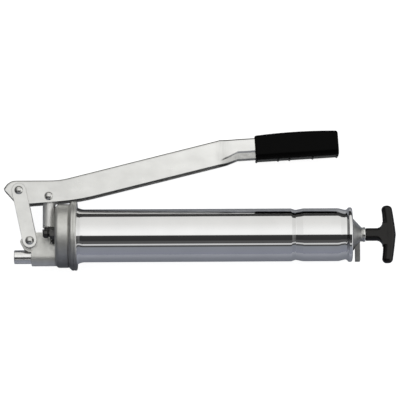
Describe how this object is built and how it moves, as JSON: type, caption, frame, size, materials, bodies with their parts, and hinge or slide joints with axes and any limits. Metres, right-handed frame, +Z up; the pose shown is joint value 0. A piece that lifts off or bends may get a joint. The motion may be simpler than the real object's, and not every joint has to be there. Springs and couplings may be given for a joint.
{
  "type": "grease gun",
  "caption": "Hand lever grease gun: cast pump head with toggle links, long channel lever, chromed cartridge barrel, spring follower on a T-handle rod, threaded outlet.",
  "frame": {"origin": "centre of the outlet's open mouth, on the outlet's axis", "axes": "gun lies on its side on a flat surface: +X along the barrel towards the T-handle, +Y towards the lever, +Z up; the lever's plane leans a little down from XY as the gun rests"},
  "size_m": [0.4234, 0.1503, 0.0749],
  "materials": {
    "cast_head": "satin grey casting",
    "plated_lever": "satin zinc plate",
    "chrome_tube": "mirror chrome",
    "bright_steel": "bright turned steel",
    "dark_steel": "blackened steel",
    "rear_steel": "satin pressed steel",
    "spring_steel": "oiled spring wire",
    "grip_plastic": "black soft vinyl",
    "handle_plastic": "black moulded plastic",
    "seal_rubber": "nitrile rubber"
  },
  "bodies": {
    "head": {"pump_head": "cast_head", "head_gasket": "seal_rubber", "outlet_connector": "bright_steel", "check_spring": "spring_steel", "gland_nut": "dark_steel", "plunger_seal": "seal_rubber", "filler_valve": "dark_steel", "vent_body": "dark_steel", "rivet_lower": "bright_steel"},
    "ball": {"check_ball": "bright_steel"},
    "vent": {"vent_button": "dark_steel"},
    "plunger": {"pump_plunger": "bright_steel"},
    "lever": {"lever": "plated_lever", "lever_grip": "grip_plastic", "rivet_middle": "bright_steel"},
    "links": {"link_near": "plated_lever", "link_far": "plated_lever", "link_spacer": "bright_steel", "rivet_upper": "bright_steel"},
    "tube": {"barrel": "chrome_tube", "rear_cap": "rear_steel", "rod_guide": "bright_steel", "latch_spring": "spring_steel", "follower_spring": "spring_steel"},
    "latch": {"latch_lever": "dark_steel"},
    "follower": {"follower_cup": "seal_rubber", "front_washer": "bright_steel", "follower_hub": "bright_steel"},
    "rod": {"follower_rod": "bright_steel", "rod_button": "bright_steel", "t_handle": "handle_plastic"}
  },
  "joints": [
    {"name": "plunger_stroke", "type": "slide", "parent": "head", "child": "plunger", "axis": [0, 0.9842, -0.177], "range_m": [0, 0.02281]},
    {"name": "lever_swing", "type": "hinge", "parent": "plunger", "child": "lever", "pos_m": [0.0374, 0.06422, -0.01155], "axis": [0, 0.177, 0.9842], "range_deg": [0, 40]},
    {"name": "link_swing", "type": "hinge", "parent": "head", "child": "links", "pos_m": [0.0172, 0.01594, -0.00287], "axis": [0, 0.177, 0.9842], "range_deg": [-2.45, 0]},
    {"name": "barrel_unscrew", "type": "slide", "parent": "head", "child": "tube", "axis": [1, 0, 0], "range_m": [0, 0.03]},
    {"name": "follower_slide", "type": "slide", "parent": "tube", "child": "follower", "axis": [1, 0, 0], "range_m": [0, 0.232], "deforming": ["follower_spring"]},
    {"name": "handle_turn", "type": "hinge", "parent": "follower", "child": "rod", "pos_m": [0.40465, 0.02254, -0.00405], "axis": [1, 0, 0], "continuous": true},
    {"name": "latch_tilt", "type": "hinge", "parent": "tube", "child": "latch", "pos_m": [0.3683, 0.02962, -0.00533], "axis": [0, 0.177, 0.9842], "range_deg": [0, 5], "stiffness_Nm_per_rad": 1, "springref_deg": -2.86, "deforming": ["latch_spring"]},
    {"name": "vent_press", "type": "slide", "parent": "head", "child": "vent", "axis": [1, 0, 0], "range_m": [0, 0.0015], "stiffness_N_per_m": 500, "springref_m": -0.001},
    {"name": "ball_lift", "type": "slide", "parent": "head", "child": "ball", "axis": [-1, 0, 0], "range_m": [0, 0.0015], "stiffness_N_per_m": 120, "springref_m": -0.002, "deforming": ["check_spring"]}
  ],
  "couplings": [
    {"joint": "plunger_stroke", "follows": "lever_swing", "m_per_rad": 0.032608},
    {"joint": "link_swing", "follows": "lever_swing", "ratio": -0.060551}
  ]
}
